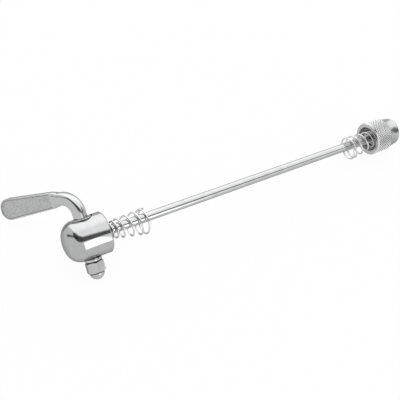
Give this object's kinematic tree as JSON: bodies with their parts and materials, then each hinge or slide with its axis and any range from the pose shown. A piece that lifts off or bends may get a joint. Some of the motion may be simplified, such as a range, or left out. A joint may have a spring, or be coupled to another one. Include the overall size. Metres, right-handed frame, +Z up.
{
  "type": "quick release skewer",
  "caption": "Bicycle quick release skewer: enclosed cam housing with a bent lever, slim threaded rod, conical springs and a knurled adjusting nut.",
  "frame": {"origin": "middle of the skewer's box at floor level, as the skewer lies at rest on its cap nut, lever tip and adjusting nut", "axes": "+X along the rod from the lever end towards the adjusting nut, +Z up, +Y to the side that the lever's stem leans to"},
  "size_m": [0.2182, 0.0562, 0.0282],
  "materials": {
    "polished_chrome": "polished chrome plate on steel",
    "satin_chrome": "chrome plate over a diamond knurl and turned faces",
    "bright_steel": "bright drawn steel",
    "spring_steel": "bright spring wire"
  },
  "bodies": {
    "housing": {"cam_housing": "polished_chrome"},
    "lever": {"cam_lever": "polished_chrome", "lock_washer": "bright_steel", "cap_nut": "polished_chrome"},
    "rod": {"skewer_rod": "bright_steel", "lever_side_spring": "spring_steel"},
    "nut_spring": {"nut_side_spring": "spring_steel"},
    "nut": {"adjusting_nut": "satin_chrome"}
  },
  "joints": [
    {"name": "lever_throw", "type": "hinge", "parent": "housing", "child": "lever", "pos_m": [-0.08084, -0.01221, 0.01433], "axis": [0.0185, 0.7536, 0.6571], "range_deg": [-38, 142]},
    {"name": "rod_draw", "type": "slide", "parent": "housing", "child": "rod", "axis": [0.9996, 0, -0.0282], "range_m": [-0.00038, 0.00142]},
    {"name": "nut_travel", "type": "slide", "parent": "rod", "child": "nut_spring", "axis": [0.9996, 0, -0.0282], "range_m": [-0.01602, 0.0048]},
    {"name": "nut_turn", "type": "hinge", "parent": "nut_spring", "child": "nut", "pos_m": [0.09059, -0.01221, 0.00949], "axis": [0.9996, 0, -0.0282], "range_deg": [-7200, 2160]}
  ],
  "couplings": [
    {"joint": "rod_draw", "follows": "lever_throw", "m_per_rad": 0.00057296},
    {"joint": "nut_travel", "follows": "nut_turn", "m_per_rad": 0.00012732}
  ]
}
